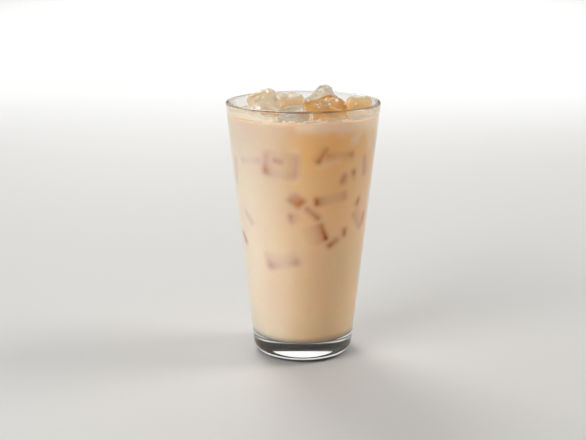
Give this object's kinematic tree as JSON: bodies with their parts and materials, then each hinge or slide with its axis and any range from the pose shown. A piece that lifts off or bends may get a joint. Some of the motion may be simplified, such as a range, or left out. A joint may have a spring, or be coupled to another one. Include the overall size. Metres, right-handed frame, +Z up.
{
  "type": "iced chai latte in a pint glass",
  "caption": "Milky iced chai latte in a tall tapered pint glass with a thick foot, with melting ice cubes floating at the top and heaped past the rim.",
  "frame": {"origin": "middle of the foot, on the surface the glass stands on", "axes": "+Z up the middle of the glass, -Y towards the viewer of the picture, +X to the right in it"},
  "size_m": [0.0888, 0.0888, 0.1561],
  "materials": {
    "glass": "clear, smooth, glossy",
    "drink": "opaque milky liquid, glossy on top",
    "ice": "clear melting ice, wet"
  },
  "bodies": {
    "root": {"glass": "glass", "drink": "drink", "ice_peak_left": "ice", "ice_back_left": "ice", "ice_peak_right": "ice", "ice_middle": "ice", "ice_right": "ice", "ice_front_left": "ice", "ice_front_middle": "ice", "ice_front_right": "ice"}
  },
  "joints": []
}
